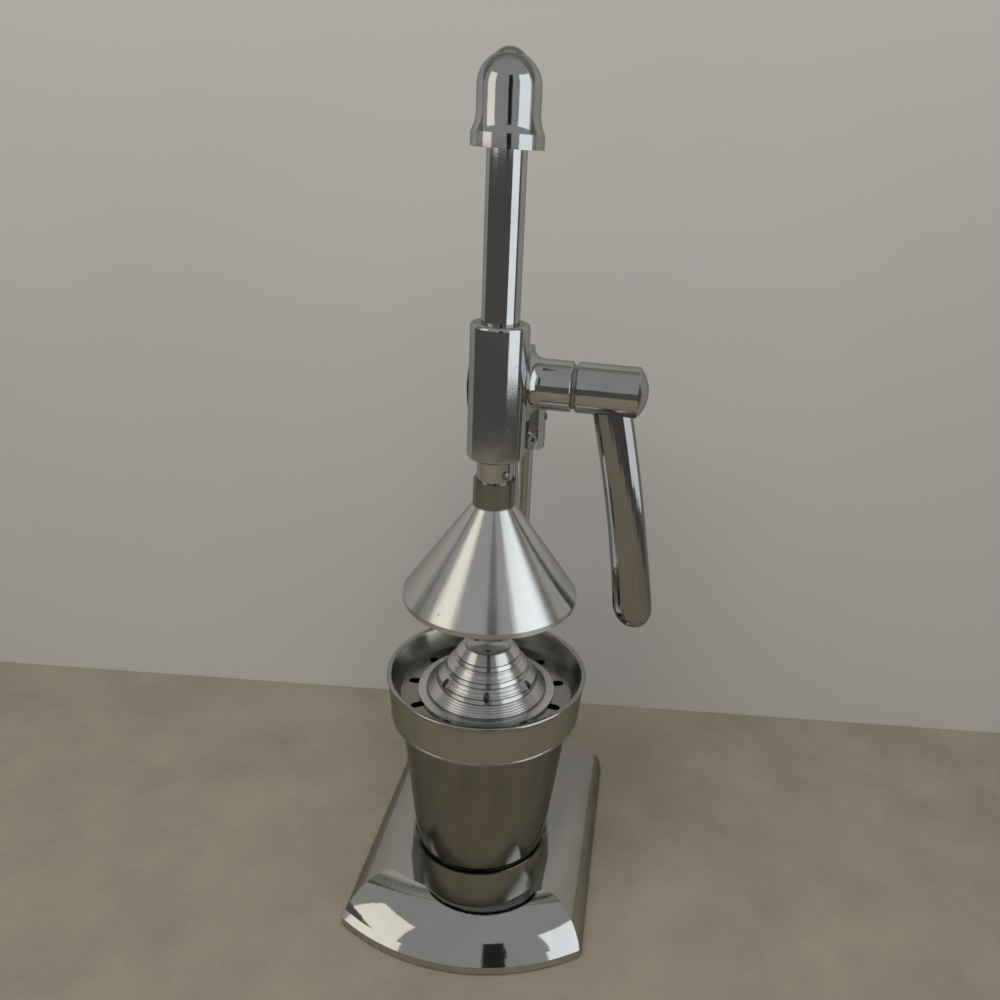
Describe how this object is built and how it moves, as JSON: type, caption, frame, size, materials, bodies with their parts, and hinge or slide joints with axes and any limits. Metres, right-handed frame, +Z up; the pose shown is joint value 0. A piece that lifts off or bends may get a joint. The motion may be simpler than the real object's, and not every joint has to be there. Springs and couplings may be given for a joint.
{
  "type": "lever citrus juice press",
  "caption": "Lever-operated citrus press: a rack and pinion lowers a hollow cone over a ribbed reamer standing in a strainer bowl on a cup.",
  "frame": {"origin": "middle of the outline's footprint, at the level that the rubber feet stand on", "axes": "+Z up along the column and plunger, +X towards the lever's side, -Y towards the front lip of the base"},
  "size_m": [0.1568, 0.1808, 0.4564],
  "materials": {
    "chromed_casting": "polished chrome plate over a casting, light wear",
    "chromed_steel": "polished chrome plate over turned steel",
    "stainless_sheet": "polished stainless sheet with a satin band",
    "satin_aluminium": "turned aluminium with fine lathe marks",
    "plain_steel": "machined steel",
    "bearing_bronze": "plain bearing bronze",
    "rubber_feet": "matt moulded rubber"
  },
  "bodies": {
    "stand": {"base_shell": "chromed_casting", "cup_ring": "chromed_casting", "foot_front_left": "rubber_feet", "foot_front_right": "rubber_feet", "foot_rear_left": "rubber_feet", "foot_rear_right": "rubber_feet", "column": "chromed_steel", "column_washer": "plain_steel", "column_nut": "plain_steel", "column_cap": "chromed_steel", "head_casting": "chromed_casting", "clamp_screw": "plain_steel", "clamp_grub": "plain_steel", "gear_cover": "chromed_casting", "cover_screw_1": "plain_steel", "cover_screw_2": "plain_steel", "cover_screw_3": "plain_steel", "bush_left": "bearing_bronze", "bush_right": "bearing_bronze"},
    "lever": {"pinion_shaft": "plain_steel", "pinion": "plain_steel", "retaining_ring": "plain_steel", "hub_washer": "plain_steel", "lever_hub": "chromed_casting", "hub_pin": "plain_steel", "lever_handle": "chromed_casting"},
    "plunger": {"rack_rod": "chromed_steel", "rod_cap": "chromed_casting", "cap_screw": "chromed_steel", "stop_pin": "plain_steel", "cone_collar": "chromed_steel", "press_cone": "satin_aluminium", "cone_screw": "plain_steel"},
    "cup": {"juice_cup": "stainless_sheet"},
    "strainer": {"strainer_bowl": "stainless_sheet"},
    "reamer_piece": {"reamer": "satin_aluminium"}
  },
  "joints": [
    {"name": "lever_turn", "type": "hinge", "parent": "stand", "child": "lever", "pos_m": [0, -0.0058, 0.3095], "axis": [1, 0, 0], "range_deg": [-19, 228]},
    {"name": "plunger_slide", "type": "slide", "parent": "stand", "child": "plunger", "axis": [0, 0, -1], "range_m": [-0.004, 0.048]},
    {"name": "cup_lift", "type": "slide", "parent": "stand", "child": "cup", "axis": [0, 0, 1], "range_m": [0, 0.006]},
    {"name": "strainer_lift", "type": "slide", "parent": "cup", "child": "strainer", "axis": [0, 0, 1], "range_m": [0, 0.004]},
    {"name": "reamer_lift", "type": "slide", "parent": "strainer", "child": "reamer_piece", "axis": [0, 0, 1], "range_m": [0, 0.006]}
  ],
  "couplings": [
    {"joint": "plunger_slide", "follows": "lever_turn", "m_per_rad": 0.012}
  ]
}
